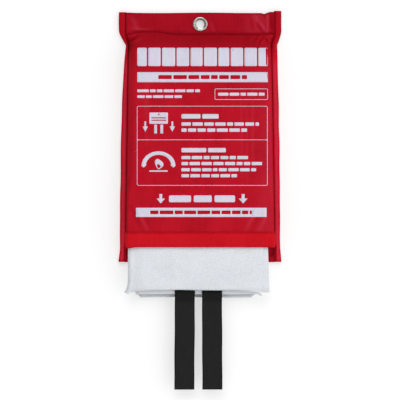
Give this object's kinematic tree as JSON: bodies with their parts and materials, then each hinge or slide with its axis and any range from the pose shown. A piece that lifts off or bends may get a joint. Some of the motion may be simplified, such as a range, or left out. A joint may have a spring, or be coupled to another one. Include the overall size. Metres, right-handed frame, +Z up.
{
  "type": "fire blanket",
  "caption": "Folded glass-fibre fire blanket standing partly out of a flat hanging pouch that opens downwards, with webbing pull tapes and a hanging eyelet.",
  "frame": {"origin": "centre of the hanging eyelet's hole, on the plane of the wall behind the pouch (the eyelet washer's rear face)", "axes": "+Z up the wall, +Y into the wall, -Y out of the pouch's front, +X to the right of someone facing the pouch"},
  "size_m": [0.201, 0.0289, 0.4676],
  "materials": {
    "red_panel_cloth": "coated plain weave, satin",
    "dark_red_header_cloth": "coated plain weave, folded double",
    "bright_red_binding": "woven binding tape, satin",
    "red_thread": "twisted polyester thread",
    "white_glass_cloth": "matt glass-fibre weave",
    "black_webbing": "ribbed webbing, matt",
    "nickelled_steel": "bright nickel plate"
  },
  "bodies": {
    "pouch": {"back_panel": "red_panel_cloth", "front_panel": "red_panel_cloth", "header_band": "dark_red_header_cloth", "mouth_band": "bright_red_binding", "back_hem": "bright_red_binding", "left_binding": "bright_red_binding", "right_binding": "bright_red_binding", "header_seam_thread": "red_thread", "header_seam_rear_thread": "red_thread", "left_seam_thread": "red_thread", "left_seam_rear_thread": "red_thread", "right_seam_thread": "red_thread", "right_seam_rear_thread": "red_thread", "mouth_seam_thread": "red_thread", "back_hem_thread": "red_thread", "eyelet": "nickelled_steel", "eyelet_washer": "nickelled_steel"},
    "blanket": {"blanket": "white_glass_cloth", "left_tape_sewn_end": "black_webbing", "right_tape_sewn_end": "black_webbing", "left_tape_stitching": "black_webbing", "right_tape_stitching": "black_webbing"},
    "left_tape": {"left_pull_tape": "black_webbing"},
    "right_tape": {"right_pull_tape": "black_webbing"}
  },
  "joints": [
    {"name": "blanket_pull", "type": "slide", "parent": "pouch", "child": "blanket", "axis": [0, 0, -1], "range_m": [-0.045, 0.215]},
    {"name": "left_tape_swing", "type": "hinge", "parent": "blanket", "child": "left_tape", "pos_m": [-0.01905, -0.0192, -0.34], "axis": [-1, 0, 0], "range_deg": [-8, 100]},
    {"name": "right_tape_swing", "type": "hinge", "parent": "blanket", "child": "right_tape", "pos_m": [0.01465, -0.0192, -0.34], "axis": [-1, 0, 0], "range_deg": [-8, 100]}
  ]
}
